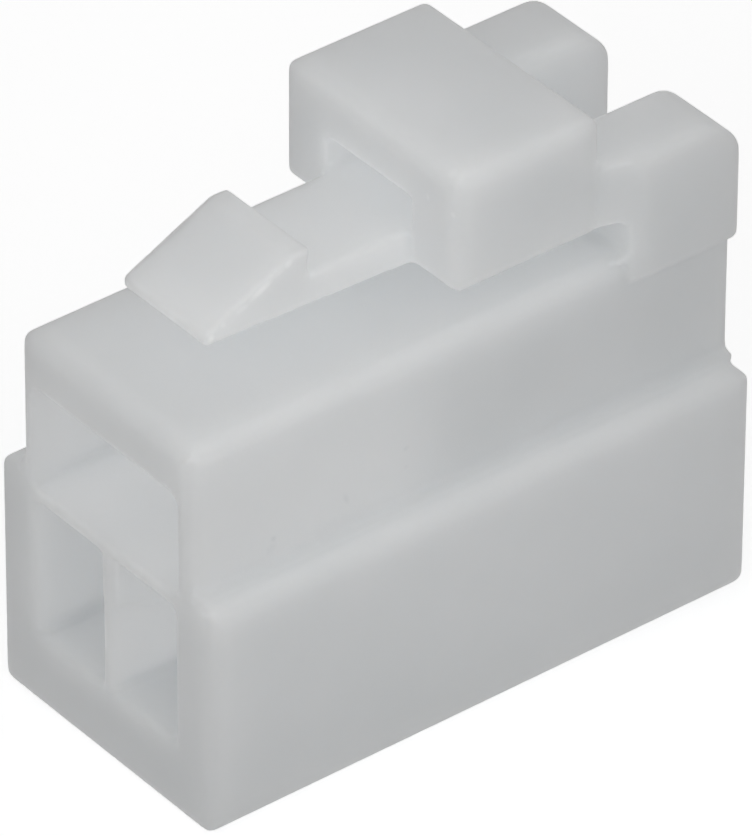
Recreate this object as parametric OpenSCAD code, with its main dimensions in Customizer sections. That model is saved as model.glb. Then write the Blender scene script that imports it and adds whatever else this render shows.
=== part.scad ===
// Two-way wire-to-board connector housing, moulded in one piece with its lock arm.
// X runs across the row of contacts, +Y from the mating face to the wire end, +Z towards the lock.
// The origin lies under the middle of the body, on the face that rests on a table.

/* [Contacts] */
// Number of contact cavities in the row
circuits = 2; // [1:1:8]
// Distance from one contact to the next
pitch = 2.5; // [2.5:0.1:4]
// From the middle of the outer contact to the side of the foot
end_margin = 2.5; // [2.4:0.1:3.5]
// Width of one cavity
cavity_w = 2.2; // [1.4:0.1:2.2]
// Height of one cavity
cavity_h = 3.5; // [2.4:0.05:3.6]
// Thickness of the floor under the cavities
floor_t = 1.85; // [1:0.05:1.9]
// Thickness of the roof between the cavities and the window
roof_t = 0.35; // [0.25:0.05:0.5]
// Corner radius of a cavity
cavity_r = 0.15; // [0.05:0.05:0.4]
// Width of the bevel round each mouth of a cavity
mouth_bevel = 0.14; // [0.05:0.01:0.14]
// Length of the hole that the contact's lance springs into
catch_l = 1.6; // [0.8:0.1:2.4]
// Width of the hole that the contact's lance springs into
catch_w = 1.2; // [0.6:0.1:1.3]
// From the mating face to the lance hole
catch_y = 3.2; // [2.6:0.1:3.4]
// Thickness of the guide ribs on the walls between the cavities
rib_t = 0.14; // [0.08:0.02:0.3]
// Height of a guide rib at the mating face
rib_h = 1.3; // [0.8:0.1:1.6]
// Slope of a guide rib's lower edge, in degrees
rib_slope = 20; // [10:1:25]
// Depth to which the guide ribs run
rib_l = 2.4; // [1:0.1:2.6]

/* [Body] */
// Length from the mating face to the wire end
body_l = 14.6; // [13.9:0.1:20]
// Height of the wide foot
foot_h = 5.9; // [5.8:0.05:6.4]
// Step from the side of the foot in to the upper body
step_w = 0.8; // [0.4:0.02:0.9]
// Height of the deck under the lock arm
deck_h = 9.5; // [9.1:0.1:10]
// Radius along the lower sides of the foot
foot_low_r = 0.65; // [0.2:0.05:1.1]
// Radius along the upper sides of the foot
foot_top_r = 0.5; // [0.1:0.05:0.7]
// Radius of the fillets where the upper body rises from the foot
step_fillet = 0.3; // [0.05:0.05:0.4]
// Radius along the sides of the deck
deck_r = 0.45; // [0.2:0.05:0.8]
// Radius of the upright corners at the mating face
front_r = 0.45; // [0.1:0.05:0.6]
// Radius of the upright corners at the wire end
rear_corner_r = 0.5; // [0.1:0.05:0.8]
// Radius of the upper and lower edges at the wire end
rear_r = 0.75; // [0.1:0.05:0.8]
// Radius of the mating face's upper edge
lip_r = 0.55; // [0.1:0.05:0.8]
// Radius of the mating face's lower edge
sole_r = 0.3; // [0.05:0.05:0.4]

/* [Mating window] */
// Thickness of the side walls beside the window
window_wall = 0.46; // [0.4:0.02:1]
// Thickness of the lip above the window
lip_t = 1.24; // [1:0.02:1.8]
// Depth of the window behind the mating face
window_depth = 6; // [5.7:0.1:9]
// Radius of the window's upper corners
window_r = 0.3; // [0.1:0.05:0.6]
// Radius of the window's lower corners
window_low_r = 0.15; // [0.05:0.05:0.6]

/* [Lock arm] */
// Width of the arm and its hook
arm_w = 2.85; // [1.6:0.05:3]
// Gap between the deck and the arm where it leaves the pad
arm_gap = 0.98; // [0.8:0.02:1.6]
// Thickness of the arm where it leaves the pad
arm_t = 0.85; // [0.6:0.05:1.1]
// How far the arm's underside rises towards the tip
arm_taper = 0.2; // [0:0.02:0.3]
// From the mating face back to the tip of the arm
tip_set_back = 1.64; // [0.5:0.02:2]
// Height of the blunt face at the tip
tip_h = 0.28; // [0.2:0.02:0.6]
// Length of the ramp on the hook
ramp_l = 2.26; // [1.5:0.02:3]
// Length of the flat crest of the hook
crest_l = 0.48; // [0.2:0.02:1]
// Height of the hook above the arm
hook_h = 0.69; // [0.4:0.01:1]
// How far the catch face leans back over its height
catch_lean = 0.06; // [0:0.02:0.3]
// Radius along the arm's long edges
arm_r = 0.15; // [0.05:0.05:0.4]

/* [Press pad] */
// Width of the pad
pad_w = 5.9; // [4:0.05:6]
// Length of the pad
pad_l = 3.9; // [2.5:0.05:4]
// From the mating face back to the pad
pad_y = 7; // [6.8:0.05:7.2]
// Height of the pad above the top of the arm
pad_rise = 2.04; // [1.2:0.02:2.4]
// How far the pad's cheeks hang below the underside of the arm
cheek_drop = 0.05; // [0:0.05:0.3]
// Radius of the pad's upright corners
pad_corner_r = 0.4; // [0.3:0.05:1.3]
// Radius of the pad's upper edges
pad_top_r = 0.4; // [0.1:0.05:0.7]
// Radius of the pad's lower edges
pad_low_r = 0.3; // [0.05:0.05:0.4]
// Radius of the pad's upright corners at its back
pad_back_r = 0.35; // [0.05:0.05:0.4]
// Height of the pocket above the arm in the pad's front
pocket_h = 0.82; // [0.4:0.02:1.1]
// Depth of the pocket
pocket_depth = 1.6; // [0.6:0.1:2.4]

/* [Arm roots] */
// How far a root stands out past the side of the upper body
root_overhang = 0.2; // [0.1:0.02:0.5]
// Open slot between the two roots
root_slot = 2.35; // [1:0.05:2.8]
// Length over which a root stands on the deck
root_l = 3; // [1.8:0.1:3.2]
// Height of a root's top above the top of the arm
root_rise = 0.71; // [0.2:0.01:1]
// How far a root reaches down past the edge of the deck
root_drop = 0.6; // [0.2:0.02:0.9]
// From the side of the pad in to the root that leaves its back
root_inset = 0.15; // [0.05:0.05:0.4]
// Radius of a root's upper edges
root_r = 0.3; // [0.1:0.05:0.6]
// Radius of a root's lower outer edge
root_low_r = 0.1; // [0.05:0.01:0.1]
// Radius of a root's upright corners at the wire end
root_corner_r = 0.3; // [0.1:0.05:0.5]
// Radius of a root's upper edge at the wire end
root_end_r = 1.25; // [0.1:0.05:1.3]
// Radius of the fillets where the roots spring from the deck
root_fillet = 0.3; // [0.1:0.05:0.4]

/* [Hidden] */
$fn = 48;
over = 1; // how far a cutter runs past the face that it cuts
bite = 0.08; // how far a fillet reaches into the walls that it joins
foot_w = pitch * (circuits - 1) + 2 * end_margin;
upper_w = foot_w - 2 * step_w;
cavity_top = floor_t + cavity_h;
wall_t = pitch - cavity_w;
window_w = upper_w - 2 * window_wall;
window_low = cavity_top + roof_t;
window_top = deck_h - lip_t;
arm_z = deck_h + arm_gap;
arm_top = arm_z + arm_t;
tip_y = tip_set_back;
tip_z = arm_z + arm_taper;
hook_top = arm_top + hook_h;
crest_y = tip_y + ramp_l;
hook_end = crest_y + crest_l;
pad_end = pad_y + pad_l;
pad_z = arm_z - cheek_drop;
pad_top = arm_top + pad_rise;
root_y = body_l - root_l;
root_z = deck_h - root_drop;
root_top = arm_top + root_rise;
root_in = root_slot / 2;
root_out = upper_w / 2 + root_overhang;

// A rectangle from [x0, y0] to [x1, y1] with its own radius at each corner, in the order
// lower left, lower right, upper right, upper left.
module round_rect(x0, y0, x1, y1, radii) {
    difference() {
        translate([x0, y0]) square([x1 - x0, y1 - y0]);
        corner_cut(x0, y0, 1, 1, radii[0]);
        corner_cut(x1, y0, -1, 1, radii[1]);
        corner_cut(x1, y1, -1, -1, radii[2]);
        corner_cut(x0, y1, 1, -1, radii[3]);
    }
}

// What is cut off a corner at [x, y] to round it; dx and dy point into the rectangle.
module corner_cut(x, y, dx, dy, r) {
    translate([x, y]) mirror([dx < 0 ? 1 : 0, 0]) mirror([0, dy < 0 ? 1 : 0])
        difference() {
            translate([-over, -over]) square(r + over);
            translate([r, r]) circle(r);
        }
}

// The fillet that fills an inside corner at [x, y]; dx and dy point into the open space.
module corner_fill(x, y, dx, dy, r) {
    translate([x, y]) mirror([dx < 0 ? 1 : 0, 0]) mirror([0, dy < 0 ? 1 : 0])
        difference() {
            translate([-bite, -bite]) square(r + bite);
            translate([r, r]) circle(r);
        }
}

// Extrudes a shape drawn in X and Z along Y, from y0 to y1.
module along_y(y0, y1) {
    translate([0, y1, 0]) rotate([90, 0, 0]) linear_extrude(y1 - y0) children();
}

// Extrudes a shape drawn in Y and Z along X, from x0 to x1.
module along_x(x0, x1) {
    translate([x0, 0, 0]) rotate([90, 0, 90]) linear_extrude(x1 - x0) children();
}

// Extrudes a shape drawn in X and Y along Z, from z0 to z1.
module along_z(z0, z1) {
    translate([0, 0, z0]) linear_extrude(z1 - z0) children();
}

// The wide foot, whose sides run in the slots of the board header.
module foot() {
    intersection() {
        along_y(0, body_l)
            round_rect(-foot_w / 2, 0, foot_w / 2, foot_h,
                       [foot_low_r, foot_low_r, foot_top_r, foot_top_r]);
        along_x(-foot_w / 2 - over, foot_w / 2 + over)
            round_rect(0, 0, body_l, foot_h, [sole_r, rear_r, rear_r, sole_r]);
        along_z(-over, foot_h + over)
            round_rect(-foot_w / 2, 0, foot_w / 2, body_l,
                       [front_r, front_r, rear_corner_r, rear_corner_r]);
    }
}

// The hollow fillets along the steps, where the upper body rises from the foot.
module step_fillets() {
    reach = upper_w / 2 + step_fillet;
    intersection() {
        along_y(0, body_l) {
            corner_fill(upper_w / 2, foot_h, 1, 1, step_fillet);
            corner_fill(-upper_w / 2, foot_h, -1, 1, step_fillet);
        }
        along_x(-reach, reach)
            round_rect(0, floor_t, body_l, foot_h + step_fillet, [0, 0, rear_r, sole_r]);
        along_z(0, deck_h)
            round_rect(-reach, 0, reach, body_l, [front_r, front_r, front_r, front_r]);
    }
}

// The narrower upper body, whose top is the deck under the lock arm.
module upper_body() {
    intersection() {
        along_y(0, body_l)
            round_rect(-upper_w / 2, floor_t, upper_w / 2, deck_h, [deck_r, deck_r, deck_r, deck_r]);
        along_x(-upper_w / 2 - over, upper_w / 2 + over)
            round_rect(0, floor_t, body_l, deck_h, [sole_r, rear_r, rear_r, lip_r]);
        along_z(0, deck_h + over)
            round_rect(-upper_w / 2, 0, upper_w / 2, body_l, [front_r, front_r, front_r, front_r]);
    }
}

// The window above the contacts, which takes the tongue of the board header.
module mating_window() {
    along_y(-over, window_depth)
        round_rect(-window_w / 2, window_low, window_w / 2, window_top,
                   [window_low_r, window_low_r, window_r, window_r]);
}

// A bevelled mouth round a cavity's opening at the mating face.
module mouth() {
    wide = mouth_bevel + over;
    intersection() {
        along_z(floor_t - wide, cavity_top + wide)
            polygon([
                [-cavity_w / 2 - wide, -over],
                [cavity_w / 2 + wide, -over],
                [cavity_w / 2, mouth_bevel],
                [-cavity_w / 2, mouth_bevel]
            ]);
        along_x(-cavity_w / 2 - wide, cavity_w / 2 + wide)
            polygon([
                [-over, floor_t - wide],
                [mouth_bevel, floor_t],
                [mouth_bevel, cavity_top],
                [-over, cavity_top + mouth_bevel / 2]
            ]);
    }
}

// One contact cavity, open at both ends, with the hole that its contact's lance springs into.
module cavity() {
    along_y(-over, body_l + over)
        round_rect(-cavity_w / 2, floor_t, cavity_w / 2, cavity_top,
                   [cavity_r, cavity_r, cavity_r, cavity_r]);
    mouth();
    translate([0, body_l, 0]) mirror([0, 1, 0]) mouth();
    translate([-catch_w / 2, catch_y, cavity_top - cavity_r])
        cube([catch_w, catch_l, roof_t + 2 * cavity_r]);
}

// The middle of cavity number i along the row.
function cavity_x(i) = (i - (circuits - 1) / 2) * pitch;

// All the cavities in their row.
module cavities() {
    for (i = [0 : circuits - 1])
        translate([cavity_x(i), 0, 0]) cavity();
}

// The guide ribs on both faces of each wall between two cavities, seen from the mating face as a
// slope that leads a contact's nose down.
module guide_ribs() {
    drop = rib_l * tan(rib_slope);
    if (circuits > 1)
        for (i = [0 : circuits - 2])
            translate([cavity_x(i) + pitch / 2, 0, 0])
                along_x(-wall_t / 2 - rib_t, wall_t / 2 + rib_t)
                    polygon([
                        [mouth_bevel, cavity_top + roof_t / 2],
                        [mouth_bevel, cavity_top - rib_h],
                        [rib_l, cavity_top - rib_h - drop],
                        [rib_l, cavity_top + roof_t / 2]
                    ]);
}

// The springy arm over the deck.
module arm_bar() {
    intersection() {
        along_x(-arm_w / 2, arm_w / 2)
            polygon([
                [tip_y, tip_z],
                [pad_y, arm_z],
                [pad_y + pad_l / 2, arm_z],
                [pad_y + pad_l / 2, arm_top],
                [crest_y, arm_top],
                [tip_y, tip_z + tip_h]
            ]);
        along_y(tip_y, pad_end)
            round_rect(-arm_w / 2, arm_z - over, arm_w / 2, arm_top, [arm_r, arm_r, arm_r, arm_r]);
    }
}

// The hook at the arm's free tip: a ramp, a crest and a catch face.
module hook() {
    along_x(-arm_w / 2, arm_w / 2)
        polygon([
            [tip_y, tip_z],
            [hook_end - catch_lean, tip_z],
            [hook_end - catch_lean, arm_top],
            [hook_end, hook_top],
            [crest_y, hook_top],
            [tip_y, tip_z + tip_h]
        ]);
}

// The wide pad that a finger presses to free the hook, pocketed in front above the arm.
module press_pad() {
    difference() {
        intersection() {
            along_y(pad_y, pad_end)
                round_rect(-pad_w / 2, pad_z, pad_w / 2, pad_top,
                           [pad_low_r, pad_low_r, pad_top_r, pad_top_r]);
            along_x(-pad_w / 2 - over, pad_w / 2 + over)
                round_rect(pad_y, pad_z, pad_end, pad_top, [pad_low_r, pad_low_r, pad_top_r, pad_top_r]);
            along_z(pad_z - over, pad_top + over)
                round_rect(-pad_w / 2, pad_y, pad_w / 2, pad_end,
                           [pad_corner_r, pad_corner_r, pad_back_r, pad_back_r]);
        }
        translate([-arm_w / 2, pad_y - over, arm_top])
            cube([arm_w, pocket_depth + over, pocket_h]);
    }
}

// Plan of the root on the +X side: it runs back from the pad and widens to stand out past the deck.
module root_plan() {
    difference() {
        polygon([
            [root_in, pad_end - over],
            [pad_w / 2 - root_inset, pad_end - over],
            [pad_w / 2 - root_inset, pad_end - root_inset],
            [root_out, root_y + root_fillet],
            [root_out, body_l],
            [root_in, body_l]
        ]);
        corner_cut(root_out, body_l, -1, -1, root_corner_r);
        corner_cut(root_in, body_l, 1, -1, root_corner_r);
    }
}

// Side of a root: a bar behind the pad, then a block that stands on the deck.
module root_side() {
    difference() {
        union() {
            translate([pad_end - over, arm_z])
                square([body_l - pad_end + over, root_top - arm_z]);
            translate([root_y, root_z]) square([root_l, root_top - root_z]);
            corner_fill(root_y, arm_z, -1, -1, root_fillet);
            corner_fill(root_y, deck_h, -1, 1, root_fillet);
        }
        corner_cut(body_l, root_top, -1, -1, root_end_r);
    }
}

// Front view of a root, with its long edges rounded.
module root_front() {
    round_rect(root_in, root_z, root_out, root_top,
               [0, root_low_r, root_r, root_r]);
}

// One of the two roots that carry the arm at the wire end, on the +X side.
module arm_root() {
    intersection() {
        along_z(root_z - over, root_top + over) root_plan();
        along_x(0, root_out + over) root_side();
        along_y(pad_end - 2 * over, body_l + over) root_front();
    }
}

// The whole housing, one moulding.
module housing() {
    color("#E3E5E8")
    translate([0, -body_l / 2, 0])
        union() {
            difference() {
                union() {
                    foot();
                    upper_body();
                    step_fillets();
                }
                mating_window();
                cavities();
            }
            guide_ribs();
            arm_bar();
            hook();
            press_pad();
            arm_root();
            mirror([1, 0, 0]) arm_root();
        }
}

housing();
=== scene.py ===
"""Dresses a two-way wire-to-board connector housing, moulded in one piece from natural nylon.

The moulding's outline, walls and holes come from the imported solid. This script gives it softly
rounded edges and the milky finish of unfilled nylon, and stands it on a plain pale floor under
plain soft lights. Lengths are in metres unless a comment says otherwise.
"""

from __future__ import annotations

import logging
import math
from dataclasses import dataclass, field
from enum import Enum

import bmesh
import bpy
import numpy as np
from mathutils import Matrix, Vector


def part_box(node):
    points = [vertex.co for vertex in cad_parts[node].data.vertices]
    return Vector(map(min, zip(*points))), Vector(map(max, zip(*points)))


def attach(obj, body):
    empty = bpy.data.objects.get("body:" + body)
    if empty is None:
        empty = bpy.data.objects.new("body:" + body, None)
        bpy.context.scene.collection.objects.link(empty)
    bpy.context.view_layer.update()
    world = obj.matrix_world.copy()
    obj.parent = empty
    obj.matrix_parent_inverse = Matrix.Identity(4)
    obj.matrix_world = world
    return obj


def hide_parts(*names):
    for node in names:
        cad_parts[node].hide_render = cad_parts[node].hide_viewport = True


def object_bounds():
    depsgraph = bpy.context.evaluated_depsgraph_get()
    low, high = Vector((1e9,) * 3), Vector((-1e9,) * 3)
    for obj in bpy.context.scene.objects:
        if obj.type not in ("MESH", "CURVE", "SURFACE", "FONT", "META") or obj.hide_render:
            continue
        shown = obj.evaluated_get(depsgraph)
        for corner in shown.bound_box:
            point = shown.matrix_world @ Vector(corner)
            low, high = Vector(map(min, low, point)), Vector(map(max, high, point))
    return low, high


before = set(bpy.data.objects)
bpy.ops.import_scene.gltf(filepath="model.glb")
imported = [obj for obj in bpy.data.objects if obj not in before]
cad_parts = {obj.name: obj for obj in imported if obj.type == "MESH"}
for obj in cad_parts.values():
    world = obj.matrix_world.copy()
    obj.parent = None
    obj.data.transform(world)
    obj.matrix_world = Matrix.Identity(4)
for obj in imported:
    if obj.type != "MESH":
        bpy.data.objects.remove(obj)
CAD_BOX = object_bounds()

LOG = logging.getLogger("housing")
MM = 0.001
FULL_TURN = 360.0  # degrees
MARK_CORE = 0.3  # the share of a mark that is at its full strength
Triple = tuple[float, float, float]


class Socket(str, Enum):
    """Names of the shader sockets that this scene sets."""

    COLOUR = "Base Color"
    ROUGHNESS = "Roughness"
    IOR = "IOR"
    SCATTER = "Subsurface Weight"
    SCATTER_RADIUS = "Subsurface Radius"
    SCATTER_SCALE = "Subsurface Scale"
    SCATTER_TURN = "Subsurface Anisotropy"
    NORMAL = "Normal"


class Tone(Enum):
    """What a small mark on the skin does to it."""

    # A highlight painted into the colour.
    PAINTED_GLINT = 1
    DARK = -1


def linear(hex_colour: str) -> tuple[float, float, float, float]:
    """Turns an sRGB hex colour into the linear colour that shaders take.

    Args:
        hex_colour: Six hex digits after a hash sign.

    Returns:
        Linear red, green and blue, and an alpha of 1.
    """
    parts = [int(hex_colour[i : i + 2], 16) / 255 for i in (1, 3, 5)]
    red, green, blue = (
        p / 12.92 if p <= 0.04045 else ((p + 0.055) / 1.055) ** 2.4 for p in parts
    )
    return red, green, blue, 1.0


def add_node(
    tree: bpy.types.NodeTree,
    kind: str,
    settings: dict[str, object] | None = None,
    inputs: dict[str | int, object] | None = None,
) -> bpy.types.Node:
    """Adds a node with its settings, and sets or links its inputs.

    Args:
        tree: The node tree that takes the node.
        kind: The node's type name.
        settings: Attributes of the node and their values.
        inputs: Input sockets by name or number, each with a value or an output to link.

    Returns:
        The new node.
    """
    node = tree.nodes.new(kind)
    for name, value in (settings or {}).items():
        setattr(node, name, value)
    for name, value in (inputs or {}).items():
        if isinstance(value, bpy.types.NodeSocket):
            tree.links.new(value, node.inputs[name])
        else:
            node.inputs[name].default_value = value
    return node


def new_material(name: str) -> tuple[bpy.types.Material, bpy.types.NodeTree]:
    """Makes an empty node material.

    Args:
        name: The material's name.

    Returns:
        The material and its node tree.
    """
    material = bpy.data.materials.new(name)
    material.use_nodes = True
    material.node_tree.nodes.clear()
    return material, material.node_tree


@dataclass(frozen=True)
class Mark:
    """A small mark on the skin, along a line from one end to the other, in millimetres."""

    tone: Tone
    start: Triple
    end: Triple
    reach: float
    amount: float

    def strength(
        self, tree: bpy.types.NodeTree, place: bpy.types.NodeSocket
    ) -> bpy.types.NodeSocket:
        """Adds the nodes that say how strong the mark is, from 0 to its amount.

        Args:
            tree: The material's node tree.
            place: The output that gives places on the object.

        Returns:
            The output that gives the strength.
        """
        start, end = Vector(self.start), Vector(self.end)
        half = (end - start) / 2
        own_place = add_node(
            tree,
            "ShaderNodeMapping",
            {"vector_type": "TEXTURE"},
            {
                "Vector": place,
                "Location": (start + half) * MM,
                "Rotation": half.to_track_quat("X", "Z").to_euler(),
                "Scale": Vector((self.reach + half.length, self.reach, self.reach)) * MM,
            },
        )
        away = add_node(
            tree,
            "ShaderNodeVectorMath",
            {"operation": "LENGTH"},
            {0: own_place.outputs[0]},
        )
        fade = add_node(
            tree,
            "ShaderNodeMapRange",
            inputs={
                "Value": away.outputs["Value"],
                "From Min": MARK_CORE,
                "From Max": 1.0,
                "To Min": self.amount,
                "To Max": 0.0,
            },
        )
        return fade.outputs["Result"]


# Highlights painted into the colour along the near edge of the hook's ramp and on the pad's near
# corner, and dark specks in the wall above the step.
GLINTS_AND_SPECKS = (
    Mark(Tone.PAINTED_GLINT, (1.42, -5.54, 10.83), (1.42, -5.5, 10.89), 0.09, 0.28),
    Mark(Tone.PAINTED_GLINT, (1.42, -5.22, 11.05), (1.42, -5.18, 11.07), 0.07, 0.12),
    Mark(Tone.PAINTED_GLINT, (1.42, -4.84, 11.22), (1.42, -4.58, 11.31), 0.08, 0.16),
    Mark(Tone.PAINTED_GLINT, (1.42, -4.5, 11.37), (1.42, -3.93, 11.65), 0.09, 0.32),
    Mark(Tone.PAINTED_GLINT, (1.42, -3.86, 11.68), (1.42, -3.6, 11.8), 0.06, 0.12),
    Mark(Tone.PAINTED_GLINT, (1.42, -3.54, 11.83), (1.42, -3.46, 11.89), 0.09, 0.24),
    Mark(Tone.PAINTED_GLINT, (2.55, -0.1, 13.31), (2.55, -0.1, 13.31), 0.14, 0.08),
    Mark(Tone.PAINTED_GLINT, (2.74, -0.25, 12.45), (2.75, -0.24, 12.41), 0.07, 0.12),
    Mark(Tone.PAINTED_GLINT, (1.98, -0.3, 12.52), (1.98, -0.3, 12.44), 0.06, 0.11),
    Mark(Tone.DARK, (2.95, -3.24, 6.74), (2.95, -3.15, 6.54), 0.09, 0.17),
    Mark(Tone.DARK, (2.95, -5.12, 6.48), (2.95, -5.1, 6.46), 0.09, 0.2),
    Mark(Tone.DARK, (2.95, -5.22, 6.22), (2.95, -5.1, 6.3), 0.13, 0.1),
    Mark(Tone.DARK, (2.95, -1.64, 7.22), (2.95, -1.58, 7.22), 0.08, 0.14),
    Mark(Tone.DARK, (2.95, -1.61, 6.74), (2.95, -1.61, 6.74), 0.07, 0.08),
)


@dataclass(frozen=True)
class NaturalNylon:
    """Unfilled polyamide 66 as it comes from the mould, with no pigment.

    Light goes a few millimetres into it, mostly forwards, before it comes out again, so edges
    are soft, thin walls pass light on to each other and no shadow on it is hard. The skin has a
    dull sheen and faint clouds. White highlights are painted into its colour along the near edge
    of the hook's ramp and on the pad's near corner, and a few dark specks lie in it, which are
    taken to be scorched melt.
    """

    base: str = "#D9DADB"
    cloud: str = "#D2D4D5"
    # The colour of the highlights painted along the hook's ramp edge and on the pad's corner.
    painted_glint: str = "#FFFFFF"
    scorched: str = "#B0B4B8"
    cloud_size: float = 2.6 * MM
    scatter_depth: float = 3.0 * MM
    scatter_by_colour: Triple = (1.0, 0.98, 0.96)
    scatter_turn: float = 0.8
    ior: float = 1.53
    roughness: float = 0.62
    grain_size: float = 0.07 * MM
    grain_height: float = 0.0012 * MM
    sink_size: float = 1.9 * MM
    sink_height: float = 0.006 * MM

    def material(self) -> bpy.types.Material:
        """Builds the nylon as a node material.

        Returns:
            The material.
        """
        material, tree = new_material("natural_nylon")
        place = add_node(tree, "ShaderNodeTexCoord").outputs["Object"]
        shader = add_node(
            tree,
            "ShaderNodeBsdfPrincipled",
            {"subsurface_method": "RANDOM_WALK"},
            {
                Socket.COLOUR: self.colour(tree, place),
                Socket.ROUGHNESS: self.roughness,
                Socket.IOR: self.ior,
                Socket.SCATTER: 1.0,
                Socket.SCATTER_RADIUS: self.scatter_by_colour,
                Socket.SCATTER_SCALE: self.scatter_depth,
                Socket.SCATTER_TURN: self.scatter_turn,
                Socket.NORMAL: self.skin(tree, place),
            },
        )
        add_node(
            tree, "ShaderNodeOutputMaterial", inputs={"Surface": shader.outputs["BSDF"]}
        )
        return material

    def colour(
        self, tree: bpy.types.NodeTree, place: bpy.types.NodeSocket
    ) -> bpy.types.NodeSocket:
        """Adds the faint clouds, and over them the painted highlights and the dark specks.

        Args:
            tree: The material's node tree.
            place: The output that gives places on the object.

        Returns:
            The output that gives the colour.
        """
        clouds = add_node(
            tree,
            "ShaderNodeTexNoise",
            inputs={"Vector": place, "Scale": 1 / self.cloud_size, "Detail": 2.0},
        )
        colour = add_node(
            tree,
            "ShaderNodeMix",
            {"data_type": "RGBA"},
            {0: clouds.outputs["Fac"], 6: linear(self.base), 7: linear(self.cloud)},
        )
        # The pale marks are highlights painted into the colour; the dark ones are specks.
        for tone, mark_colour in ((Tone.PAINTED_GLINT, self.painted_glint), (Tone.DARK, self.scorched)):
            alike = [mark.strength(tree, place) for mark in GLINTS_AND_SPECKS if mark.tone is tone]
            amount = alike[0]
            for other in alike[1:]:
                both = add_node(
                    tree, "ShaderNodeMath", {"operation": "MAXIMUM"}, {0: amount, 1: other}
                )
                amount = both.outputs[0]
            colour = add_node(
                tree,
                "ShaderNodeMix",
                {"data_type": "RGBA"},
                {0: amount, 6: colour.outputs[2], 7: linear(mark_colour)},
            )
        return colour.outputs[2]

    def skin(
        self, tree: bpy.types.NodeTree, place: bpy.types.NodeSocket
    ) -> bpy.types.NodeSocket:
        """Adds the fine grain of the mould over shallow sinks left by cooling.

        Args:
            tree: The material's node tree.
            place: The output that gives places on the object.

        Returns:
            The output that gives the bumped normal.
        """
        sinks = add_node(
            tree,
            "ShaderNodeTexNoise",
            inputs={"Vector": place, "Scale": 1 / self.sink_size, "Detail": 1.0},
        )
        wavy = add_node(
            tree,
            "ShaderNodeBump",
            inputs={
                "Strength": 1.0,
                "Distance": self.sink_height,
                "Height": sinks.outputs["Fac"],
            },
        )
        grain = add_node(
            tree,
            "ShaderNodeTexNoise",
            inputs={"Vector": place, "Scale": 1 / self.grain_size, "Detail": 3.0},
        )
        bumped = add_node(
            tree,
            "ShaderNodeBump",
            inputs={
                "Strength": 1.0,
                "Distance": self.grain_height,
                "Height": grain.outputs["Fac"],
                Socket.NORMAL: wavy.outputs["Normal"],
            },
        )
        return bumped.outputs["Normal"]


@dataclass
class MouldedHousing:
    """The housing's one moulding, with every edge and inner corner softened as moulded.

    The solid is resampled on a fine grid and relaxed, which rounds its sharp edges outside and
    fills its sharp corners inside, and then thinned where it is flat. The weld gap and the grid
    are in millimetres, because the solid is worked on at that scale.
    """

    finish: NaturalNylon
    node: str = "housing"
    weld_gap: float = 1e-4
    grid: float = 0.06
    relax_passes: int = 16
    relax_strength: float = 0.5
    most_triangles: int = 180_000
    pieces: list[bpy.types.Object] = field(default_factory=list)

    def build(self) -> None:
        """Builds the softened moulding in place of the plain solid."""
        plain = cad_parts[self.node]
        mesh = plain.data.copy()
        mesh.name = "moulded_housing"
        mesh.transform(Matrix.Scale(1 / MM, 4))
        piece = bpy.data.objects.new("moulded_housing", mesh)
        bpy.context.scene.collection.objects.link(piece)
        self.weld(mesh)
        self.resample(piece)
        self.thin(piece)
        piece.data.transform(Matrix.Scale(MM, 4))
        self.keep_in_box(piece.data)
        piece.data.shade_smooth()
        self.pieces.append(piece)

    def weld(self, mesh: bpy.types.Mesh) -> None:
        """Joins the faces of the solid along their shared edges.

        Args:
            mesh: The solid's mesh, in millimetres.
        """
        shape = bmesh.new()
        shape.from_mesh(mesh)
        bmesh.ops.remove_doubles(shape, verts=shape.verts, dist=self.weld_gap)
        shape.to_mesh(mesh)
        shape.free()

    def resample(self, piece: bpy.types.Object) -> None:
        """Covers the solid with an even grid and relaxes it, so that its edges round over.

        Args:
            piece: The copy of the solid, in millimetres.
        """
        even = piece.modifiers.new("even_grid", "REMESH")
        even.mode = "VOXEL"
        even.voxel_size = self.grid
        relax = piece.modifiers.new("relax", "SMOOTH")
        relax.factor = self.relax_strength
        relax.iterations = self.relax_passes
        self.apply(piece)

    def thin(self, piece: bpy.types.Object) -> None:
        """Thins the grid to the most triangles that the piece may have.

        Args:
            piece: The resampled piece.
        """
        triangles = sum(len(face.vertices) - 2 for face in piece.data.polygons)
        if triangles > self.most_triangles:
            fewer = piece.modifiers.new("fewer", "DECIMATE")
            fewer.ratio = self.most_triangles / triangles
            self.apply(piece)

    def apply(self, piece: bpy.types.Object) -> None:
        """Turns the piece's modifiers into its mesh.

        Args:
            piece: The piece whose modifiers are applied.
        """
        done = piece.evaluated_get(bpy.context.evaluated_depsgraph_get())
        mesh = bpy.data.meshes.new_from_object(done)
        piece.modifiers.clear()
        piece.data = mesh

    def keep_in_box(self, mesh: bpy.types.Mesh) -> None:
        """Keeps every vertex inside the solid's own box.

        Args:
            mesh: The finished mesh, in metres.
        """
        low, high = (np.array(corner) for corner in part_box(self.node))
        places = np.empty(len(mesh.vertices) * 3)
        mesh.vertices.foreach_get("co", places)
        places = np.clip(places.reshape(-1, 3), low, high)
        mesh.vertices.foreach_set("co", places.ravel())
        mesh.update()

    def dress(self) -> None:
        """Gives the moulding its nylon, and lets it stand for the plain solid."""
        nylon = self.finish.material()
        for piece in self.pieces:
            piece.data.materials.clear()
            piece.data.materials.append(nylon)
            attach(piece, "root")
            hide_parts(self.node)
            LOG.info("%s: %d faces", piece.name, len(piece.data.polygons))


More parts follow.
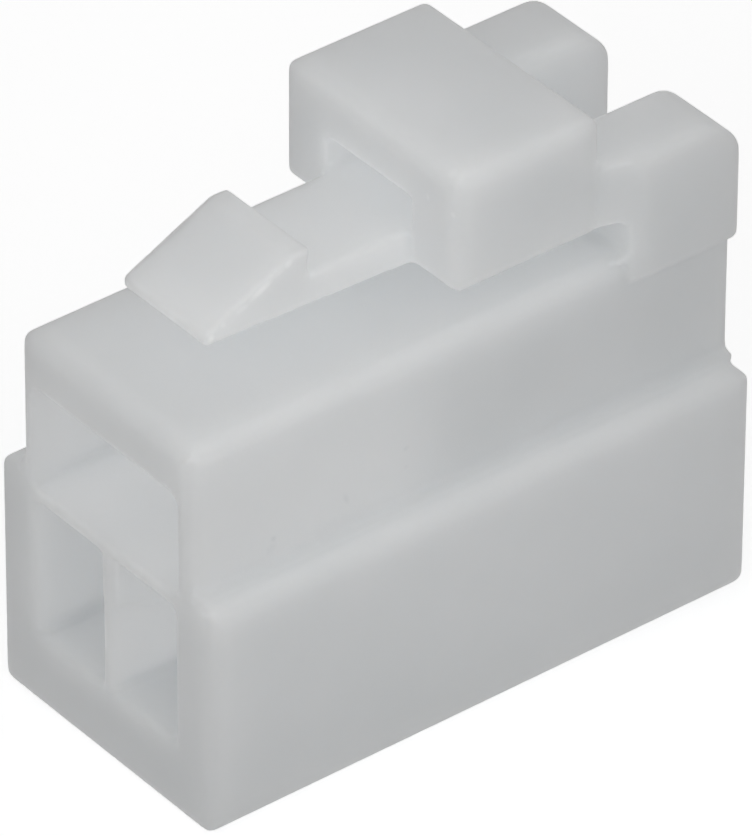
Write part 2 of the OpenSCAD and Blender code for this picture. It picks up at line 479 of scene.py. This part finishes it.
def background_rays(tree: bpy.types.NodeTree) -> bpy.types.NodeSocket:
    """Tells the rays that show a background from those that light the housing with it.

    Args:
        tree: The node tree of the floor or the sky.

    Returns:
        An output that is 1 for the camera's own rays and for those that it sees in gloss or
        through glass, and 0 for all others.
    """
    rays = add_node(tree, "ShaderNodeLightPath")
    shown = rays.outputs["Is Camera Ray"]
    for kind in ("Is Glossy Ray", "Is Transmission Ray"):
        either = add_node(
            tree,
            "ShaderNodeMath",
            {"operation": "MAXIMUM"},
            {0: shown, 1: rays.outputs[kind]},
        )
        shown = either.outputs[0]
    return shown


@dataclass(frozen=True)
class PaleFloor:
    """A plain matt sheet, white to the eye and greyer in the light that it throws back.

    Its glow rises with the distance from the housing as the lamps fall off, so that the
    housing's shadow stays below white.
    """

    seen: str = "#FFFFFF"
    thrown_back: str = "#B4B4B4"
    near_glow: float = 0.44
    far_glow: float = 0.63
    near: float = 6.0 * MM
    far: float = 45.0 * MM

    def material(self) -> bpy.types.Material:
        """Builds the sheet as a node material.

        Returns:
            The material.
        """
        material, tree = new_material("pale_floor")
        shown = background_rays(tree)
        colour = add_node(
            tree,
            "ShaderNodeMix",
            {"data_type": "RGBA"},
            {0: shown, 6: linear(self.thrown_back), 7: linear(self.seen)},
        )
        matt = add_node(
            tree, "ShaderNodeBsdfDiffuse", inputs={"Color": colour.outputs[2]}
        )
        place = add_node(tree, "ShaderNodeNewGeometry").outputs["Position"]
        away = add_node(tree, "ShaderNodeVectorMath", {"operation": "LENGTH"}, {0: place})
        glow = add_node(
            tree,
            "ShaderNodeMapRange",
            inputs={
                "Value": away.outputs["Value"],
                "From Min": self.near,
                "From Max": self.far,
                "To Min": self.near_glow,
                "To Max": self.far_glow,
            },
        )
        strength = add_node(
            tree,
            "ShaderNodeMath",
            {"operation": "MULTIPLY"},
            {0: shown, 1: glow.outputs["Result"]},
        )
        white = add_node(
            tree, "ShaderNodeEmission", inputs={"Strength": strength.outputs[0]}
        )
        both = add_node(
            tree, "ShaderNodeAddShader", inputs={0: matt.outputs[0], 1: white.outputs[0]}
        )
        add_node(tree, "ShaderNodeOutputMaterial", inputs={"Surface": both.outputs[0]})
        return material


def direction(azimuth: float, elevation: float) -> Vector:
    """Gives the way out from the housing to something that looks at it.

    Args:
        azimuth: The angle round the housing in degrees, from straight before its mating face.
        elevation: The angle above the floor in degrees.

    Returns:
        A unit vector.
    """
    turn, rise = math.radians(azimuth), math.radians(elevation)
    level = math.cos(rise)
    return Vector((math.sin(turn) * level, -math.cos(turn) * level, math.sin(rise)))


def hang(light: bpy.types.Light, away: Vector, place: Vector) -> None:
    """Hangs a light so that it shines back along a direction.

    Args:
        light: The light's data.
        away: The direction from the housing to the light.
        place: Where the light hangs.
    """
    lamp = bpy.data.objects.new(light.name, light)
    lamp.location = place
    lamp.rotation_euler = away.to_track_quat("Z", "Y").to_euler()
    bpy.context.scene.collection.objects.link(lamp)


def fill(light: bpy.types.Light, is_fill: bool = True) -> None:
    """Makes a light a plain fill, which reaches into hollows and casts no shadow.

    Args:
        light: The light's data.
        is_fill: Whether the light is a fill.
    """
    light.use_shadow = not is_fill
    light.cycles.use_multiple_importance_sampling = not is_fill


@dataclass(frozen=True)
class SoftLamp:
    """A square lamp close to the housing, which faces it. Angles are in degrees."""

    name: str
    azimuth: float
    elevation: float
    distance: float
    side: float
    power: float
    casts_shadow: bool = False

    def build(self) -> None:
        """Hangs the lamp."""
        light = bpy.data.lights.new(self.name, "AREA")
        light.shape = "SQUARE"
        light.size = self.side
        light.energy = self.power
        fill(light, not self.casts_shadow)
        away = direction(self.azimuth, self.elevation)
        middle = Vector((0, 0, CAD_BOX[1][2] / 2))
        hang(light, away, middle + away * self.distance)


@dataclass(frozen=True)
class LensSpot:
    """A narrow soft spot beside the lens, which fades out towards the housing's far ends."""

    azimuth: float = 51.5
    elevation: float = 36.0
    distance: float = 120 * MM
    aim: Triple = (0.5 * MM, -2.5 * MM, 8 * MM)
    cone: float = 11.0
    radius: float = 4 * MM
    power: float = 0.054

    def build(self) -> None:
        """Hangs the spot."""
        light = bpy.data.lights.new("lens_spot", "SPOT")
        light.spot_size = math.radians(self.cone)
        light.spot_blend = 1.0
        light.shadow_soft_size = self.radius
        light.energy = self.power
        fill(light)
        away = direction(self.azimuth, self.elevation)
        hang(light, away, Vector(self.aim) + away * self.distance)


@dataclass(frozen=True)
class WideGlow:
    """Even light from one side of the tent, too wide and soft to cast a shadow.

    Angles are in degrees.
    """

    name: str
    azimuth: float
    elevation: float
    strength: float
    spread: float

    def build(self) -> None:
        """Hangs the glow."""
        light = bpy.data.lights.new(self.name, "SUN")
        light.angle = math.radians(self.spread)
        light.energy = self.strength
        fill(light)
        hang(light, direction(self.azimuth, self.elevation), Vector())


@dataclass
class Studio:
    """A light tent: a pale lit table, glowing cloth all round, and soft lamps by the lens."""

    floor_size: float = 1.2
    sky_strength: float = 0.36
    floor: PaleFloor = PaleFloor()
    lens_lamp: SoftLamp = SoftLamp(
        "lens_lamp", 51.5, 37, 56 * MM, 26 * MM, 0.00268, casts_shadow=True
    )
    side_lamp: SoftLamp = SoftLamp("side_lamp", 90, 35, 40 * MM, 30 * MM, 0.00121)
    top_lamp: SoftLamp = SoftLamp("top_lamp", 51.5, 75, 34 * MM, 24 * MM, 0.00177)
    lens_spot: LensSpot = LensSpot()
    lit_table: WideGlow = WideGlow("lit_table", 0, -90, 0.415, 180)
    tent_walls: int = 6
    first_wall: float = 21.5
    wall_elevation: float = -25.0
    wall_strength: float = 0.103
    wall_spread: float = 57.3

    def build(self) -> None:
        """Builds the floor, the sky, the lamps and the glowing tent."""
        self.lay_floor()
        self.light_sky()
        lamps = (self.lens_lamp, self.side_lamp, self.top_lamp, self.lens_spot)
        for light in (*lamps, self.lit_table, *self.walls()):
            light.build()

    def walls(self) -> list[WideGlow]:
        """Sets glows evenly round the housing, so that its upright edges stay as soft.

        Returns:
            One glow for each wall of the tent.
        """
        turn = FULL_TURN / self.tent_walls
        return [
            WideGlow(
                f"tent_wall_{number}",
                self.first_wall + number * turn,
                self.wall_elevation,
                self.wall_strength,
                self.wall_spread,
            )
            for number in range(self.tent_walls)
        ]

    def lay_floor(self) -> None:
        """Lays the floor under the housing."""
        half = self.floor_size / 2
        mesh = bpy.data.meshes.new("floor")
        corners = [(-half, -half, 0), (half, -half, 0), (half, half, 0), (-half, half, 0)]
        mesh.from_pydata(corners, [], [(0, 1, 2, 3)])
        mesh.materials.append(self.floor.material())
        floor = bpy.data.objects.new("floor", mesh)
        bpy.context.scene.collection.objects.link(floor)

    def light_sky(self) -> None:
        """Surrounds the scene with even light, and with white where the camera sees it."""
        world = bpy.data.worlds.new("even_sky")
        world.use_nodes = True
        tree = world.node_tree
        tree.nodes.clear()
        strength = add_node(
            tree,
            "ShaderNodeMix",
            {"data_type": "FLOAT"},
            {0: background_rays(tree), 2: self.sky_strength, 3: 1.0},
        )
        sky = add_node(
            tree,
            "ShaderNodeBackground",
            inputs={"Color": linear("#FFFFFF"), "Strength": strength.outputs[0]},
        )
        add_node(tree, "ShaderNodeOutputWorld", inputs={"Surface": sky.outputs[0]})
        bpy.context.scene.world = world


@dataclass
class Camera:
    """A long lens that looks down on the housing from its mating end.

    Angles are in degrees, and the lens and its sensor in millimetres.
    """

    azimuth: float = 51.46
    elevation: float = 35.76
    roll: float = 0.29
    distance: float = 233.1 * MM
    lens: float = 475.7
    sensor_width: float = 36.0
    nearest: float = 0.01
    farthest: float = 10.0
    aim: Triple = (0.114 * MM, -0.153 * MM, 5.744 * MM)

    def build(self) -> None:
        """Places the camera and makes it the scene's own."""
        data = bpy.data.cameras.new("camera")
        data.lens = self.lens
        data.sensor_width = self.sensor_width
        data.clip_start = self.nearest
        data.clip_end = self.farthest
        camera = bpy.data.objects.new("camera", data)
        away = direction(self.azimuth, self.elevation)
        turn = away.to_track_quat("Z", "Y").to_matrix().to_4x4()
        tilt = Matrix.Rotation(math.radians(self.roll), 4, "Z")
        camera.matrix_world = (
            Matrix.Translation(Vector(self.aim) + away * self.distance) @ turn @ tilt
        )
        bpy.context.scene.collection.objects.link(camera)
        bpy.context.scene.camera = camera


def main() -> None:
    """Builds the housing, the studio and the camera in order."""
    logging.basicConfig(level=logging.INFO, format="%(name)s %(message)s")
    scene = bpy.context.scene
    scene.view_settings.view_transform = "Standard"
    housing = MouldedHousing(finish=NaturalNylon())
    housing.build()
    housing.dress()
    Studio().build()
    Camera().build()


if __name__ == "__main__":
    main()
